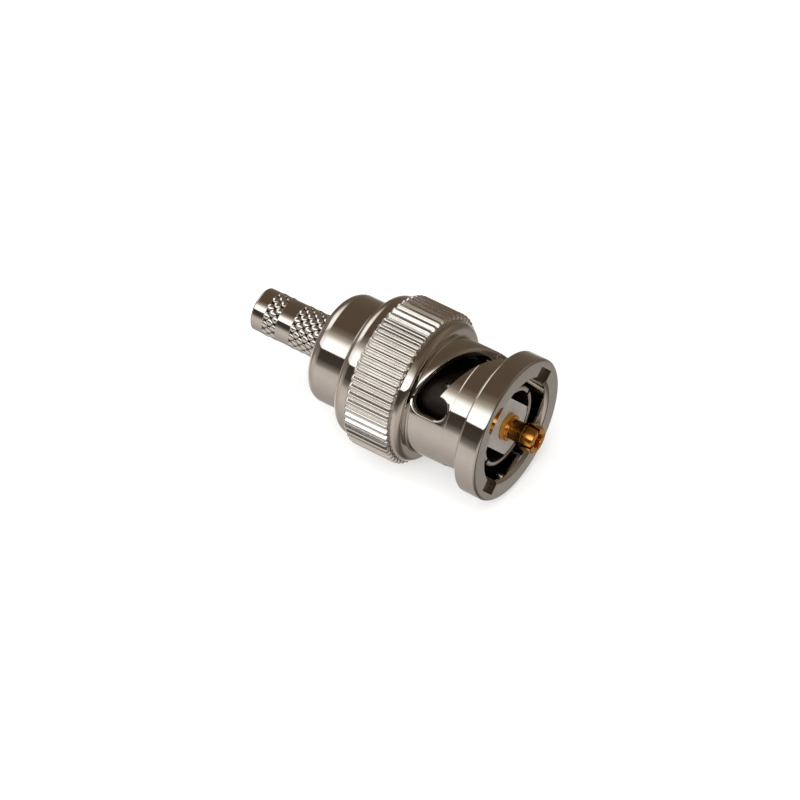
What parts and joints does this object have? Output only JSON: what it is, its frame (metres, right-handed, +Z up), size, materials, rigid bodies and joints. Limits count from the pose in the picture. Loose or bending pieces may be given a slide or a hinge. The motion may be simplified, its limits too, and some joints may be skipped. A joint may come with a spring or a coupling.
{
  "type": "bnc connector",
  "caption": "Crimp-on bayonet coaxial plug: knurled coupling nut with cam slots, turned body, thin crimp stem, slotted outer contact and gold centre contact.",
  "frame": {"origin": "centre of the crimp stem's rear end, where the cable enters", "axes": "+X along the plug's axis towards the mating end, +Z up, +Y to the side"},
  "size_m": [0.0293, 0.0144, 0.0144],
  "materials": {
    "nickel_plating": "turned brass, bright nickel plated",
    "gold_plating": "turned brass, gold plated",
    "insulator_plastic": "turned fluoropolymer, waxy",
    "silicone": "moulded silicone, matt",
    "spring_steel": "stamped spring steel"
  },
  "bodies": {
    "plug_body": {"rear_body": "nickel_plating", "crimp_stem": "nickel_plating", "outer_contact": "nickel_plating", "front_insulator": "insulator_plastic", "rear_insulator": "insulator_plastic", "centre_contact": "gold_plating", "gasket": "silicone", "front_thrust_washer": "spring_steel", "spring_washer_front": "spring_steel", "spring_washer_rear": "spring_steel"},
    "thrust_ring": {"rear_thrust_washer": "spring_steel"},
    "nut": {"coupling_nut": "nickel_plating"}
  },
  "joints": [
    {"name": "nut_draw", "type": "slide", "parent": "plug_body", "child": "thrust_ring", "axis": [1, 0, 0], "range_m": [0, 0.0012], "stiffness_N_per_m": 12000, "springref_m": -0.0004, "deforming": ["spring_washer_front", "spring_washer_rear"]},
    {"name": "nut_turn", "type": "hinge", "parent": "thrust_ring", "child": "nut", "pos_m": [0.0194, 0, 0], "axis": [1, 0, 0], "continuous": true}
  ]
}
